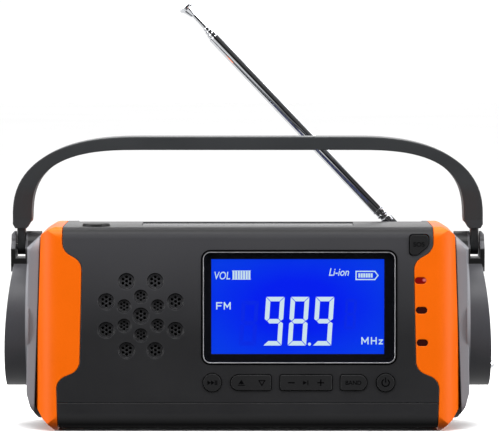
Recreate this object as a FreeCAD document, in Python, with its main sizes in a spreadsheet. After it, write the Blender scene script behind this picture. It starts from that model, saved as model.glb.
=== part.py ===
"""Emergency radio: a hand-crank radio with a side flashlight, backlit display, telescopic antenna
and a swinging carry handle.

Millimetres. X runs along the length (the crank is at the +X end, the flashlight at the -X end),
Y runs from the front (-Y) to the rear, and Z is up. The origin is on the surface that the radio
stands on, under the middle of the housing.
"""
import FreeCAD, Part
import math
import os
import re
import Sketcher

Vector = FreeCAD.Vector
Rotation = FreeCAD.Rotation
doc = FreeCAD.newDocument("emergency_radio")

# ---------------------------------------------------------------- driving dimensions
DIMENSIONS = {
    # housing
    "body_height": 73, "body_depth": 54, "wall": 2.2, "seam_gap": 0.25,
    "top_half": 69.5, "shoulder_x": 73.9, "shoulder_z": 70.2,
    "end_half": 76, "end_low_z": 8.8, "slope_x": 73.2, "slope_z": 4.2, "foot_half": 68.9,
    "top_round": 4, "bottom_round": 6.5, "plan_round": 9, "end_low_round": 4,
    "shoulder_round": 1.2, "top_corner_round": 5,
    "bottom_seam": 10.3, "belly_lift": 1.4, "rear_seam": 14.4,
    # S-shaped seam of the side panels
    "seam_top": 66, "seam_top_z": 64.7, "seam_waist": 59.1, "seam_waist_z": 60.6,
    "seam_low": 60, "seam_low_z": 21.9, "seam_foot": 68.3, "seam_foot_z": 18.5,
    "seam_base": 67.8, "seam_round": 5, "tongue": 1.5, "tongue_thick": 1.2,
    # the channel for the folded antenna
    "channel_front": 17, "channel_floor": 66, "channel_half": 62,
    # end caps, bosses and lugs
    "cap_half": 22, "cap_low": 4, "cap_high": 68.8, "cap_face": 79.3, "cap_start": 75.2, "cap_round": 6,
    "boss_z": 37.5, "boss_r": 23, "boss_bore_r": 20.5, "crown_r": 230, "crown_x": 87.25, "crown_z": 22,
    "lug_in": 74.6, "lug_out": 85.4, "slot_in": 80.2, "slot_out": 83.8, "slot_floor": 60.9,
    "lug_half": 8.5, "lug_neck": 4.7, "lug_foot_z": 64.4, "lug_neck_z": 67.2, "lug_top": 70.4,
    # handle
    "pivot_z": 65.2, "handle_pin_r": 1.2, "handle_bore_r": 1.25,
    "strap_half": 9.5, "strap_foot_half": 5.5, "strap_foot": 71.6, "strap_wide_z": 86,
    "arch_flat": 39, "arch_spring": 75.5, "outer_reach": 45.8, "outer_rise": 29.2,
    "inner_reach": 38.9, "inner_rise": 24.5, "tab_in": 80.5, "tab_out": 83.4, "tab_r": 3.3,
    "strap_in": 78.4, "strap_out": 84.9,
    # display
    "lcd_left": -16.3, "lcd_right": 52.9, "lcd_low": 24.2, "lcd_high": 64.6, "lcd_round": 3,
    "frame_line": 0.6, "view_left": -13, "view_right": 48.6, "view_low": 27.7, "view_high": 61.6,
    # buttons
    "row_z": 17.6, "button_tall": 5.4, "button_gap": 0.3, "button_proud": 0.5,
    "play_x": -12.7, "power_x": 49.1, "round_r": 3.15,
    "tuning_left": -6, "tuning_right": 8.2, "volume_left": 11.6, "volume_right": 30,
    "band_left": 33.1, "band_right": 42.4, "sos_left": 57.7, "sos_right": 64.3,
    "sos_low": 63.2, "sos_high": 70.3, "light_x": -54.3, "light_y": -17, "light_r": 4.9,
    # speaker
    "speaker_x": -38.1, "speaker_z": 41.4, "speaker_r": 19, "disc_r": 2.95, "small_disc_r": 2.45,
    "inner_ring_r": 6.9, "outer_ring_r": 13.35, "recess": 0.9, "hole_r": 0.55, "small_hole_r": 0.45,
    # indicators
    "lamp_long": 4.1, "lamp_tall": 2.45, "lamp_x_1": 61.5, "lamp_x_2": 61.9, "lamp_x_3": 62.2,
    "lamp_z_1": 54, "lamp_z_2": 43.4, "lamp_z_3": 31.8,
    # antenna
    "mast_x": 55.1, "mast_y": 21.5, "mast_z": 69.5, "mast_tilt": 46.5, "tube_start": 10.6,
    "tube_1_r": 2.25, "tube_2_r": 1.85, "tube_3_r": 1.5, "tube_4_r": 1.15, "rod_r": 0.8,
    "tube_play": 0.07, "tube_1_end": 98.2, "tube_2_end": 99.8, "tube_3_end": 101.2,
    "tube_4_end": 102.6, "rod_end": 108.9, "knob_end": 113.9, "knob_r": 2.6,
    # crank and generator drive
    "module_mm": 0.7, "shaft_r": 3, "shaft_bore_r": 3.05, "rotor_r": 20.1, "rotor_back": 74.9,
    "rotor_face": 83.2, "hinge_x": 84.65, "hinge_z": 50.5, "hinge_r": 0.9, "arm_half": 4.2,
    "arm_back": 83.5, "knob_z": 22.2, "well_r": 4.25, "crank_knob_r": 3.7, "crank_knob_end_r": 2.75,
    "rivet_r": 1, "nub_r": 2.35, "nub_x": 89.4,
    "gear_1_y": -8.875, "gear_1_z": 18.467, "gear_2_y": 7.861, "gear_2_z": 19.931,
    "gen_y": 12.209, "gen_z": 36.159, "gen_r": 10.9,
    # power and boards
    "cell_r": 9.15, "cell_y": 14, "cell_z": 14, "cell_left": -30, "cell_right": 35,
    "board_front": -15.5, "board_thick": 1.5,
}
sheet = doc.addObject("Spreadsheet::Sheet", "Dims")
for row, (alias, number) in enumerate(DIMENSIONS.items(), start=1):
    sheet.set("A%d" % row, alias)
    sheet.set("B%d" % row, str(number))
    sheet.setAlias("B%d" % row, alias)
doc.recompute()


def size(alias):
    """The number that a cell of the sheet holds."""
    return float(getattr(sheet, alias))


def cells(text):
    """An expression with each alias turned into a reference to the sheet."""
    return re.sub(r"[a-z][a-z_0-9]*", lambda m: "Dims." + m[0] if m[0] in DIMENSIONS else m[0], str(text))


def bind(item, **sizes):
    for prop, text in sizes.items():
        item.setExpression(prop, cells(text))
    return item


def put(item, x=0, y=0, z=0):
    for axis, text in zip("xyz", (x, y, z)):
        item.setExpression("Placement.Base." + axis, cells(text))
    return item


# ---------------------------------------------------------------- shape helpers
TURN = {"x": Rotation(Vector(0, 1, 0), 90), "y": Rotation(Vector(1, 0, 0), -90), "z": Rotation()}


def along(axis, low, first, second):
    """Coordinates of a point that is at low on the axis and at (first, second) on the other two."""
    return {"x": (low, first, second), "y": (first, low, second), "z": (first, second, low)}[axis]


def box(x0, x1, y0, y1, z0, z1):
    item = doc.addObject("Part::Box", "Box")
    bind(item, Length=f"({x1}) - ({x0})", Width=f"({y1}) - ({y0})", Height=f"({z1}) - ({z0})")
    return put(item, x0, y0, z0)


def cylinder(axis, radius, low, high, first=0, second=0):
    item = doc.addObject("Part::Cylinder", "Cylinder")
    item.Placement = FreeCAD.Placement(Vector(), TURN[axis])
    bind(item, Radius=radius, Height=f"({high}) - ({low})")
    return put(item, *along(axis, low, first, second))


def cone(axis, radius_low, radius_high, low, high, first=0, second=0):
    item = doc.addObject("Part::Cone", "Cone")
    item.Placement = FreeCAD.Placement(Vector(), TURN[axis])
    bind(item, Radius1=radius_low, Radius2=radius_high, Height=f"({high}) - ({low})")
    return put(item, *along(axis, low, first, second))


def fuse(*items):
    item = doc.addObject("Part::MultiFuse", "Fuse")
    item.Shapes = list(items)
    item.Refine = True
    return item


def common(*items):
    item = doc.addObject("Part::MultiCommon", "Common")
    item.Shapes = list(items)
    return item


def cut(base, *tools):
    item = doc.addObject("Part::Cut", "Cut")
    item.Base = base
    item.Tool = tools[0] if len(tools) == 1 else fuse(*tools)
    return item


def group(*items):
    item = doc.addObject("Part::Compound", "Group")
    item.Links = list(items)
    return item


def mirror(item):
    """The same piece at the other end of the radio."""
    copy = doc.addObject("Part::Mirroring", "Mirror")
    copy.Source = item
    copy.Normal = Vector(1, 0, 0)
    return copy


def polygon(body, plane, points, offset):
    """A closed sketch whose every corner is placed by two expressions."""
    sketch = body.newObject("Sketcher::SketchObject", "Outline")
    face = [f for f in body.Origin.OriginFeatures if f.Role == plane + "_Plane"][0]
    sketch.AttachmentSupport = [(face, "")]
    sketch.MapMode = "FlatFace"
    sketch.setExpression("AttachmentOffset.Base.z", cells(offset))
    count = len(points)
    ring = [Vector(20 * math.cos(i * math.tau / count), 20 * math.sin(i * math.tau / count), 0)
            for i in range(count)]
    for i in range(count):
        sketch.addGeometry(Part.LineSegment(ring[i], ring[(i + 1) % count]))
    for i in range(count):
        sketch.addConstraint(Sketcher.Constraint("Coincident", i, 2, (i + 1) % count, 1))
    for i, point in enumerate(points):
        for kind, text in zip(("DistanceX", "DistanceY"), point):
            index = sketch.addConstraint(Sketcher.Constraint(kind, -1, 1, i, 1, 1.0))
            sketch.setExpression("Constraints[%d]" % index, cells(text))
    return sketch


def corner_edges(feature, sketch, corner):
    """Names of the feature's edges that stand on one corner of its sketch."""
    foot = sketch.Placement.multVec(sketch.Geometry[corner].StartPoint)
    normal = sketch.Placement.Rotation.multVec(Vector(0, 0, 1))
    names = []
    for i, edge in enumerate(feature.Shape.Edges, start=1):
        gaps = [(v.Point - foot).cross(normal).Length for v in edge.Vertexes]
        if len(gaps) == 2 and max(gaps) < 1e-4:
            names.append("Edge%d" % i)
    return names


def prism(plane, points, low, high, corners=None):
    """A padded outline between two levels of its plane's axis, with rounded corners."""
    body = doc.addObject("PartDesign::Body", "Prism")
    reverse = plane == "XZ"
    sketch = polygon(body, plane, points, f"-({high})" if reverse else low)
    pad = body.newObject("PartDesign::Pad", "Pad")
    pad.Profile = sketch
    bind(pad, Length=f"({high}) - ({low})")
    doc.recompute()
    feature = pad
    for corner, radius in (corners or {}).items():
        base = feature
        feature = body.newObject("PartDesign::Fillet", "Round")
        feature.Base = (base, corner_edges(base, sketch, corner))
        bind(feature, Radius=radius)
        doc.recompute()
    return body


def turned(axis, points, x=0, y=0, z=0):
    """A piece turned on a lathe: points are (radius, place along the axis)."""
    body = doc.addObject("PartDesign::Body", "Turned")
    sketch = polygon(body, "XZ", points, 0)
    revolution = body.newObject("PartDesign::Revolution", "Revolution")
    revolution.Profile = sketch
    revolution.ReferenceAxis = (sketch, ["V_Axis"])
    body.Placement = FreeCAD.Placement(Vector(), TURN[axis])
    return put(body, x, y, z)


def rectangle(left, right, low, high):
    return [(left, low), (right, low), (right, high), (left, high)]


def slot(length, height, low, high, x, z):
    """A bar with round ends that lies along X and runs from low to high in Y."""
    reach = f"(({length}) - ({height})) / 2"
    radius = f"({height}) / 2"
    bar = box(f"{x} - {reach}", f"{x} + {reach}", low, high, f"{z} - {radius}", f"{z} + {radius}")
    ends = [cylinder("y", radius, low, high, f"{x} {sign} {reach}", z) for sign in "+-"]
    return fuse(bar, *ends)


PIECES = {}


def piece(name, item):
    """Give a finished sub-part the name of its node."""
    item.Label = name
    PIECES[name] = item
    return item


def shaped(name, shape, placement=None):
    """A sub-part whose outline is a formula: its shape is set first and then placed."""
    item = doc.addObject("Part::Feature", "Shaped")
    item.Shape = shape
    if placement:
        item.Placement = placement
    return piece(name, item) if name else item


# ---------------------------------------------------------------- housing
def envelope(inset):
    """The rounded block that all the covers follow, moved inwards by an inset."""
    right = [("foot_half", inset), (f"slope_x - {inset}", f"slope_z + {inset} / 2"),
             (f"end_half - {inset}", "end_low_z"), (f"shoulder_x - {inset}", f"shoulder_z - {inset} / 2"),
             (f"top_half - {inset} * 0.6", f"body_height - {inset}")]
    left = [(f"-({x})", z) for x, z in reversed(right)]
    front = prism("XZ", right + left, "-body_depth", "body_depth",
                  {2: "end_low_round", 7: "end_low_round", 3: "shoulder_round", 6: "shoulder_round",
                   4: "top_corner_round", 5: "top_corner_round"})
    half = f"body_depth / 2 - {inset}"
    side = prism("YZ", rectangle(f"-({half})", half, inset, f"body_height - {inset}"),
                 "-end_half - 5", "end_half + 5",
                 {0: f"bottom_round - {inset}", 1: f"bottom_round - {inset}",
                  2: f"top_round - {inset}", 3: f"top_round - {inset}"})
    reach = f"end_half - {inset}"
    plan = prism("XY", rectangle(f"-({reach})", reach, f"-({half})", half), -5, "body_height + 5",
                 {corner: f"plan_round - {inset}" for corner in range(4)})
    return common(front, side, plan)


def seam(shift, top, bottom):
    """The S-shaped line between the core and the right side panel, from the top down."""
    return [(f"seam_top + {shift}", top), (f"seam_top + {shift}", "seam_top_z"),
            (f"seam_waist + {shift}", "seam_waist_z"), (f"seam_low + {shift}", "seam_low_z"),
            (f"seam_foot + {shift}", "seam_foot_z"),
            (f"seam_base + (seam_foot - seam_base) * ({bottom}) / seam_foot_z + {shift}", bottom)]


def panel_region(shift, bottom):
    """Everything outside the right seam."""
    outside = [("end_half + 10", bottom), ("end_half + 10", "body_height + 5")]
    return prism("XZ", seam(shift, "body_height + 5", bottom) + outside, "-body_depth", "body_depth",
                 {corner: "seam_round" for corner in (1, 2, 3, 4)})


def core_region(y0, y1, z0, shift="(-seam_gap / 2)"):
    """Everything between the two seams, from y0 to y1 and above z0."""
    right = seam(shift, "body_height + 5", z0)
    left = [(f"-({x})", z) for x, z in reversed(right)]
    corners = {corner: "seam_round" for corner in (1, 2, 3, 4, 7, 8, 9, 10)}
    return prism("XZ", right + left, y0, y1, corners)


outer = envelope("0")
inner = envelope("wall")
tongue_outer = envelope("(wall + 0.1)")
tongue_inner = envelope("(wall + tongue_thick)")
shell = cut(outer, inner)
front_y = "(-body_depth / 2)"
rear_y = "(body_depth / 2)"
wall_y = "(-body_depth / 2 + wall)"
BOSSES = ((-55.5, 58), (-46.5, 11), (46.5, 11), (56.3, 58))  # x and z of the four case screws


def screw_columns(radius, y0, y1):
    return [cylinder("y", radius, y0, y1, x, z) for x, z in BOSSES]


def grille_cutters():
    """Round recesses in two rings about a centre one, each with seven holes through the wall."""
    places = [(0, 0, "disc_r", "hole_r", 1.5)]
    for k in range(6):
        places.append(("inner_ring_r", 90 + 60 * k, "small_disc_r", "small_hole_r", 1.25))
    for k in range(8):
        places.append(("outer_ring_r", 22.5 + 45 * k, "disc_r", "hole_r", 1.5))
    recesses = []
    holes = []
    for ring, angle, disc, hole, spread in places:
        x = f"speaker_x + {ring} * {math.cos(math.radians(angle)):.5f}"
        z = f"speaker_z + {ring} * {math.sin(math.radians(angle)):.5f}"
        recesses.append(cone("y", f"{disc} + 0.1", f"{disc} - 0.35", f"{front_y} - 0.1",
                             f"{front_y} + recess", x, z))
        holes.append(cylinder("y", hole, front_y, f"{wall_y} + 0.5", x, z))
        for turn in range(6):
            dx = spread * math.cos(math.radians(60 * turn + 30))
            dz = spread * math.sin(math.radians(60 * turn + 30))
            holes.append(cylinder("y", hole, front_y, f"{wall_y} + 0.5", f"{x} + {dx:.4f}",
                                  f"{z} + {dz:.4f}"))
    return group(*recesses), group(*holes)


def button_tool(grow, left, right, round_left, round_right, y0, y1):
    """The outline of one key in the row, made larger by grow on every side."""
    half = f"(button_tall / 2 + {grow})"
    points = rectangle(f"{left} - {grow}", f"{right} + {grow}", f"row_z - {half}", f"row_z + {half}")
    corner = {True: f"{half} - 0.05", False: f"0.7 + {grow}"}
    corners = {0: corner[round_left], 3: corner[round_left], 1: corner[round_right], 2: corner[round_right]}
    return prism("XZ", points, y0, y1, corners)


def sos_tool(grow, y0, y1):
    """The alarm key: a rounded square whose lower right corner follows the seam."""
    points = [(f"sos_left - {grow}", f"sos_low - {grow}"), ("sos_left + 2.6", f"sos_low - {grow}"),
              (f"sos_right + {grow}", "sos_low + 3.4"), (f"sos_right + {grow}", f"sos_high + {grow}"),
              (f"sos_left - {grow}", f"sos_high + {grow}")]
    return prism("XZ", points, y0, y1, {0: 1.2, 1: 1.6, 2: 2.2, 3: 1.3, 4: 1.3})


KEYS = {
    "button_tuning": ("tuning_left", "tuning_right", True, False),
    "button_volume": ("volume_left", "volume_right", False, False),
    "button_band": ("band_left", "band_right", False, True),
}
ROUND_KEYS = {"button_play": "play_x", "button_power": "power_x"}
face_y = f"{front_y} - button_proud"
through = (f"{front_y} - 1", f"{wall_y} + 1")

recess_tools, hole_tools = grille_cutters()
front_region = core_region(front_y + " - 5", "rear_seam - seam_gap / 2", "bottom_seam + seam_gap / 2")
front_block = common(shell, front_region)
columns = screw_columns(2.5, f"{wall_y} - 0.3", "12.2")
front_solid = fuse(front_block, *columns)
openings = [prism("XZ", rectangle("lcd_left - 0.35", "lcd_right + 0.35", "lcd_low - 0.35", "lcd_high + 0.35"),
                  *through, {corner: "lcd_round + 0.35" for corner in range(4)})]
openings += [button_tool("button_gap", *key, *through) for key in KEYS.values()]
openings += [cylinder("y", "round_r + button_gap", *through, x, "row_z") for x in ROUND_KEYS.values()]
openings += [sos_tool("button_gap", *through)]
openings += [cylinder("z", "light_r + button_gap", "body_height - wall - 1", "body_height + 1",
                      "light_x", "light_y")]
openings += [box("-38.2", "38.2", "-12.2", "12.2", "body_height - 1.3", "body_height + 1")]
openings += screw_columns(0.9, "-2", "12.5")
piece("front_shell", cut(cut(cut(front_solid, *openings), recess_tools), hole_tools))

# rear shell, with the channel that the antenna folds into
rear_region = core_region("rear_seam + seam_gap / 2", rear_y + " + 5", "bottom_seam + seam_gap / 2")
channel_block = box("-seam_top", "seam_top", "rear_seam + seam_gap / 2", rear_y, "channel_floor - wall",
                    "body_height")
within_tongues = core_region("rear_seam", rear_y, "bottom_seam", "(-tongue - 0.2)")
channel_lining = common(outer, channel_block, within_tongues)
sleeves = screw_columns(2.8, "12.3", f"{rear_y} - wall + 0.2")
rear_cutters = [box("-channel_half", "channel_half", "channel_front", f"{rear_y} + 1", "channel_floor",
                    "body_height + 1")]
rear_cutters += [box("mast_x", "channel_half + 1.9", "channel_front", f"{rear_y} + 1", "channel_floor + 4",
                     "body_height + 1")]
rear_cutters += screw_columns(1.2, "12", f"{rear_y} + 1")
rear_cutters += screw_columns(2.15, "14.6", f"{rear_y} + 1")
rear_cutters += [cylinder("z", 2.6, "channel_floor - 4", "channel_floor + 1", "mast_x", "mast_y")]
rear_cutters += [box("-50", "-18", f"{rear_y} - 1.3", f"{rear_y} + 1", "32.4", "45"),
                 box("-47.2", "-33.4", f"{rear_y} - 4", f"{rear_y}", "34.5", "42.2"),
                 box("-29.5", "-20.7", f"{rear_y} - 4", f"{rear_y}", "34.5", "39.2"),
                 cylinder("y", 2.3, f"{rear_y} - 4", f"{rear_y} + 1", -11, 38.4)]
piece("rear_shell", cut(fuse(common(shell, rear_region), channel_lining, *sleeves), *rear_cutters))

# bottom cover: a tray that stands a little clear of the table
tray_region = core_region(f"{front_y} - 5", f"{rear_y} + 5", "-1")
tray_slab = box("-end_half", "end_half", front_y, rear_y, "belly_lift", "bottom_seam - seam_gap / 2")
tray_hollow = common(inner, box("-end_half", "end_half", front_y, rear_y, "belly_lift + wall", "body_height"))
tray_notches = screw_columns(2.75, f"{wall_y} - 0.4", f"{rear_y} - wall + 0.4")[1:3]
piece("bottom_cover", cut(common(outer, tray_region, tray_slab), tray_hollow, *tray_notches))

# side panels: cups with a tongue that the core slips over
tongue_zone = panel_region("(-tongue)", "belly_lift + wall + 0.15")
tongue_ring = cut(common(tongue_outer, tongue_zone), tongue_inner)
panel_zone = panel_region("seam_gap / 2", "-1")
panel_wall = cut(common(outer, panel_zone), tongue_inner)
panel_hole = cylinder("x", "boss_bore_r + 0.7", "end_half - 12", "end_half + 3", 0, "boss_z")
boss_notches = [cylinder("y", 3, front_y + " + 1", f"{rear_y} - 1", x, z) for x, z in BOSSES[2:]]
LAMPS = [(f"lamp_x_{n}", f"lamp_z_{n}") for n in (1, 2, 3)]
lamp_slots = [slot("lamp_long", "lamp_tall", f"{front_y} - 1", f"{wall_y} + 1.5", *lamp) for lamp in LAMPS]
CAP_SCREWS = [(y, z) for y in (-17, 17) for z in (12.4, 62.6)]
head_seat = "end_half - 3.3"
cap_holes = [cylinder("x", 0.8, "end_half - 8", "cap_start + 1", y, z) for y, z in CAP_SCREWS]
cap_holes += [cylinder("x", 2.2, "end_half - 9", head_seat, y, z) for y, z in CAP_SCREWS]
plain_panel = cut(fuse(panel_wall, tongue_ring), panel_hole, *boss_notches, *cap_holes)
sos_clearance = sos_tool("1.1", f"{wall_y} - 0.2", f"{wall_y} + 2")
piece("side_panel_right", cut(plain_panel, sos_clearance, *lamp_slots))
piece("side_panel_left", mirror(plain_panel))
lenses = [slot("lamp_long - 0.1", "lamp_tall - 0.1", f"{front_y} + 0.15", f"{wall_y} + 1", *lamp)
          for lamp in LAMPS]
piece("indicator_lens_lit", lenses[0])
piece("indicator_lenses", group(*lenses[1:]))


# ---------------------------------------------------------------- end caps
def crown(inset):
    """The slightly domed face of the end bosses: a very large drum lying along Y."""
    return cylinder("y", f"crown_r - {inset}", -30, 30, "crown_x - crown_r", "crown_z")


def end_cap():
    """Plate, round boss and the forked lug for the handle, for the +X end."""
    plate_front = prism("XZ", [("slope_x - 1", "cap_low"), ("cap_face - 4.4", "cap_low"),
                               ("cap_face - 1.4", "cap_low + 4.2"), ("cap_face", "cap_low + 9.4"),
                               ("cap_face - 1", "cap_high - 4.4"), ("cap_face - 4.7", "cap_high + 0.3"),
                               ("slope_x - 1", "cap_high + 0.3")],
                        "-cap_half", "cap_half", {1: 1.5, 2: 4, 3: 5, 4: 1.6, 5: 1.2})
    plate_side = prism("YZ", rectangle("-cap_half", "cap_half", "cap_low", "cap_high + 1"),
                       "cap_start - 3", "cap_face + 1", {corner: "cap_round" for corner in range(4)})
    clear_of_panel = prism("XZ", [("end_half - 20", "slope_z - 8"), ("slope_x + 0.12", "slope_z - 8"),
                                  ("slope_x + 0.12", "slope_z"), ("end_half + 0.12", "end_low_z"),
                                  ("shoulder_x + 0.12", "shoulder_z"),
                                  ("shoulder_x + 0.12", "shoulder_z + 8"),
                                  ("end_half - 20", "shoulder_z + 8")], -30, 30)
    boss = common(cylinder("x", "boss_r", "cap_face - 1", "crown_x + 3", 0, "boss_z"), crown(0))
    profile = [("-lug_half", "boss_z + 13"), ("lug_half", "boss_z + 13"), ("lug_half", "lug_foot_z"),
               ("lug_neck", "lug_neck_z"), ("-lug_neck", "lug_neck_z"), ("-lug_half", "lug_foot_z")]
    lug_block = prism("YZ", profile, "lug_in", "lug_out", {2: 1, 5: 1})
    lug_eye = cylinder("x", "lug_top - pivot_z", "lug_in", "lug_out", 0, "pivot_z")
    lug = fuse(lug_block, lug_eye)
    lug_trim = prism("XZ", [("lug_in - 2", "boss_z + 11"), ("lug_out + 0.1", "boss_z + 11"),
                            ("lug_out", "lug_top - 1"), ("lug_out - 1", "lug_top + 0.1"),
                            ("lug_in - 2", "lug_top + 0.1")], -12, 12, {2: 0.8})
    slot_cut = box("slot_in", "slot_out", -15, 15, "slot_floor", "lug_top + 5")
    pin_bore = cylinder("x", "handle_pin_r", "slot_in - 1.8", "slot_out + 0.9", 0, "pivot_z")
    pilots = [cylinder("x", 0.8, "cap_start - 3", "cap_face - 0.9", y, z) for y, z in CAP_SCREWS]
    bore = cylinder("x", "boss_bore_r", "end_half - 5", "crown_x + 3", 0, "boss_z")
    solid = fuse(common(plate_front, plate_side), boss, common(lug, lug_trim))
    return cut(solid, clear_of_panel, slot_cut, pin_bore, bore, *pilots)


right_cap = piece("end_cap_right", end_cap())
piece("end_cap_left", mirror(right_cap))
right_screws = group(*[fuse(cylinder("x", 0.75, f"{head_seat} - 0.1", "cap_face - 1.1", y, z),
                            cylinder("x", 2, f"{head_seat} - 1.1", f"{head_seat} - 0.02", y, z))
                       for y, z in CAP_SCREWS])
rear_screws = [fuse(cylinder("y", 1.9, 14.7, 16.4, x, z), cylinder("y", 0.85, 3, 14.8, x, z))
               for x, z in BOSSES]
piece("case_screws", group(*rear_screws, right_screws, mirror(right_screws)))


# ---------------------------------------------------------------- carry handle
def arch_curve(reach, rise, power):
    """A quarter of the handle's arch: a squared-off ellipse from the side up to the flat top."""
    flat = size("arch_flat")
    spring = size("arch_spring")
    steps = 14
    points = []
    for i in range(steps + 1):
        angle = math.radians(90 * i / steps)
        x = flat + reach * math.cos(angle) ** (2 / power)
        z = spring + rise * math.sin(angle) ** (2 / power)
        points.append(Vector(x, -20, z))
    curve = Part.BSplineCurve()
    curve.interpolate(points)
    return curve.toShape(), points[0], points[-1]


def handle_band():
    """The arched band between its outer and inner lines, as wide as its widest place."""
    outer_edge, outer_low, outer_high = arch_curve(size("outer_reach"), size("outer_rise"), 2.42)
    inner_edge, inner_low, inner_high = arch_curve(size("inner_reach"), size("inner_rise"), 2.78)
    foot = size("strap_foot")
    foot_out = Vector(size("strap_out"), -20, foot)
    foot_in = Vector(size("strap_in"), -20, foot)
    top_out = Vector(0, -20, outer_high.z)
    top_in = Vector(0, -20, inner_high.z)
    edges = [Part.makeLine(top_out, outer_high), outer_edge, Part.makeLine(outer_low, foot_out),
             Part.makeLine(foot_out, foot_in), Part.makeLine(foot_in, inner_low), inner_edge,
             Part.makeLine(inner_high, top_in), Part.makeLine(top_in, top_out)]
    face = Part.Face(Part.Wire(Part.__sortEdges__(edges)))
    half = face.extrude(Vector(0, 40, 0))
    return half.fuse(half.mirror(Vector(), Vector(1, 0, 0))).removeSplitter()


band = shaped(None, handle_band())
band_side = prism("YZ", [("-strap_foot_half", "strap_foot - 1"), ("strap_foot_half", "strap_foot - 1"),
                         ("strap_foot_half + 0.4", "strap_foot + 3"), ("strap_half", "strap_wide_z"),
                         ("strap_half", "strap_wide_z + 40"), ("-strap_half", "strap_wide_z + 40"),
                         ("-strap_half", "strap_wide_z"), ("-strap_foot_half - 0.4", "strap_foot + 3")],
                  "-crown_x", "crown_x", {3: 12, 6: 12})


def handle_tab():
    """The thin neck that turns on the pin, at the +X end."""
    plate = box("tab_in", "tab_out", "-tab_r", "tab_r", "pivot_z", "strap_foot + 1")
    eye = cylinder("x", "tab_r", "tab_in", "tab_out", 0, "pivot_z")
    return fuse(plate, eye)


def shoulder_trim():
    """Slopes both sides of the foot of the band towards the tab."""
    outside = prism("XZ", [("tab_out", "strap_foot - 1"), ("strap_out + 3", "strap_foot - 1"),
                           ("strap_out + 3", "strap_foot + 1.6"), ("strap_out + 0.01", "strap_foot + 1.6")],
                    -15, 15)
    inside = prism("XZ", [("tab_in", "strap_foot - 1"), ("strap_in - 0.01", "strap_foot + 2.4"),
                          ("strap_in - 3", "strap_foot + 2.4"), ("strap_in - 3", "strap_foot - 1")],
                   -15, 15)
    return fuse(outside, inside)


def handle_bore():
    return cylinder("x", "handle_bore_r", "tab_in - 1", "tab_out + 1", 0, "pivot_z")


band_solid = cut(common(band, band_side), shoulder_trim(), mirror(shoulder_trim()))
tab = handle_tab()
handle_hole = handle_bore()
piece("carry_handle", cut(fuse(band_solid, tab, mirror(tab)), handle_hole, mirror(handle_hole)))
pin = cylinder("x", "handle_pin_r", "slot_in - 1.7", "slot_out + 0.8", 0, "pivot_z")
piece("handle_pins", group(pin, mirror(pin)))

# ---------------------------------------------------------------- display
ring_outer = prism("XZ", rectangle("lcd_left", "lcd_right", "lcd_low", "lcd_high"),
                   f"{front_y} - 0.3", f"{front_y} + 1", {corner: "lcd_round" for corner in range(4)})
ring_inner = prism("XZ", rectangle("lcd_left + frame_line", "lcd_right - frame_line", "lcd_low + frame_line",
                                   "lcd_high - frame_line"),
                   f"{front_y} - 1", f"{front_y} + 2",
                   {corner: "lcd_round - frame_line" for corner in range(4)})
piece("display_frame", cut(ring_outer, ring_inner))
pane = rectangle("lcd_left + frame_line + 0.05", "lcd_right - frame_line - 0.05",
                 "lcd_low + frame_line + 0.05", "lcd_high - frame_line - 0.05")
piece("display_window", prism("XZ", pane, front_y, f"{front_y} + 0.8",
                              {corner: "lcd_round - frame_line" for corner in range(4)}))
bezel_edge = rectangle("lcd_left + 0.05", "lcd_right - 0.05", "lcd_low + 0.05", "lcd_high - 0.05")
bezel_plate = prism("XZ", bezel_edge,
                    f"{front_y} + 1.05", f"{wall_y} + 0.05", {corner: "lcd_round" for corner in range(4)})
bezel_flange = box("lcd_left - 1.6", "lcd_right + 0.7", f"{wall_y} + 0.03", f"{wall_y} + 1.1",
                   "lcd_low - 1.7", "lcd_high + 1.6")
view_hole = box("view_left", "view_right", f"{front_y} - 1", f"{wall_y} + 3", "view_low", "view_high")
lcd_pocket = box("view_left - 1.6", "view_right + 1.6", f"{front_y} + 1.9", f"{wall_y} + 3",
                 "view_low - 1.6", "view_high + 1.6")
piece("display_bezel", cut(fuse(bezel_plate, bezel_flange), view_hole, lcd_pocket))
piece("lcd_panel", box("view_left - 1.5", "view_right + 1.5", f"{front_y} + 1.95", f"{front_y} + 3.9",
                       "view_low - 1.5", "view_high + 1.5"))
piece("lcd_backlight", box("view_left - 1.5", "view_right + 1.5", f"{front_y} + 3.95", "board_front - 3",
                           "view_low - 1.5", "view_high + 1.5"))

# ---------------------------------------------------------------- keys
stem_tip = "board_front - 5.1"
switch_tip = "board_front - 4.4"
flange = (f"{wall_y} + 0.05", f"{wall_y} + 1.05")


def stem(x, z):
    return cylinder("y", 1.5, f"{wall_y} + 1", stem_tip, x, z)


for name, x in ROUND_KEYS.items():
    cap = cylinder("y", "round_r", face_y, f"{wall_y} + 0.1", x, "row_z")
    lip = cylinder("y", "round_r + 0.65", *flange, x, "row_z")
    piece(name, fuse(cap, lip, stem(x, "row_z")))
key_stems = {
    "button_tuning": ("tuning_left + 3.4", "tuning_right - 3.4"),
    "button_volume": ("volume_left + 3.6", "volume_right - 3.6"),
    "button_band": ("(band_left + band_right) / 2",),
}
rocker_flange = (f"{wall_y} + 0.45", f"{wall_y} + 1.35")
for name, key in KEYS.items():
    parts = [button_tool("0", *key, face_y, f"{wall_y} + 0.5")]
    parts += [stem(x, "row_z") for x in key_stems[name]]
    if name == "button_band":
        parts.append(button_tool("0.65", *key, *flange))
    else:
        middle = f"({key[0]} + {key[1]}) / 2"
        parts.append(button_tool("0.65", *key, *rocker_flange))
        parts.append(cylinder("z", 0.5, "row_z - 3.3", "row_z + 3.3", middle, f"{wall_y} + 1"))
    piece(name, fuse(*parts))
sos_centre = ("(sos_left + sos_right) / 2", "(sos_low + sos_high) / 2 + 0.2")
sos_lip = common(sos_tool("0.6", *flange), box("sos_left - 2", "sos_right + 2", *flange, "sos_low - 2", 68.7))
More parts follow.
